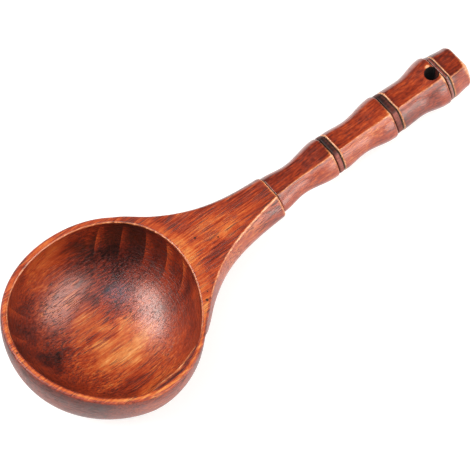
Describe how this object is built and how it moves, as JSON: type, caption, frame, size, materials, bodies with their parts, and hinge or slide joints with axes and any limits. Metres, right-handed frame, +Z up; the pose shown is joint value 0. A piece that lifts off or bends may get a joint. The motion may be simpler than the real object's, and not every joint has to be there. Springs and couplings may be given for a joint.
{
  "type": "sauna ladle",
  "caption": "Wooden ladle with a deep round bowl, a flat-topped neck that flares into the rim, and a straight grip carved like a bamboo cane with a hanging hole, for scooping water.",
  "frame": {"origin": "middle of the flat foot under the bowl, on the surface that the ladle lies on", "axes": "+X along the ladle towards the end of the grip, +Z up from the surface; the rim tilts down towards the grip as the ladle lies"},
  "size_m": [0.3578, 0.13, 0.0662],
  "materials": {
    "stained_wood": "red-brown stain under satin lacquer, worn pale along the edges",
    "dark_wood": "near-black stain under gloss lacquer",
    "brown_wood": "brown stain under satin lacquer",
    "bare_wood": "bare, glued"
  },
  "bodies": {
    "root": {"ladle_head": "stained_wood", "core_dowel": "bare_wood", "grip_section_1": "stained_wood", "node_ring_1": "dark_wood", "grip_section_2": "stained_wood", "node_ring_2": "dark_wood", "grip_section_3": "stained_wood", "node_ring_3": "brown_wood", "grip_end": "stained_wood"}
  },
  "joints": []
}
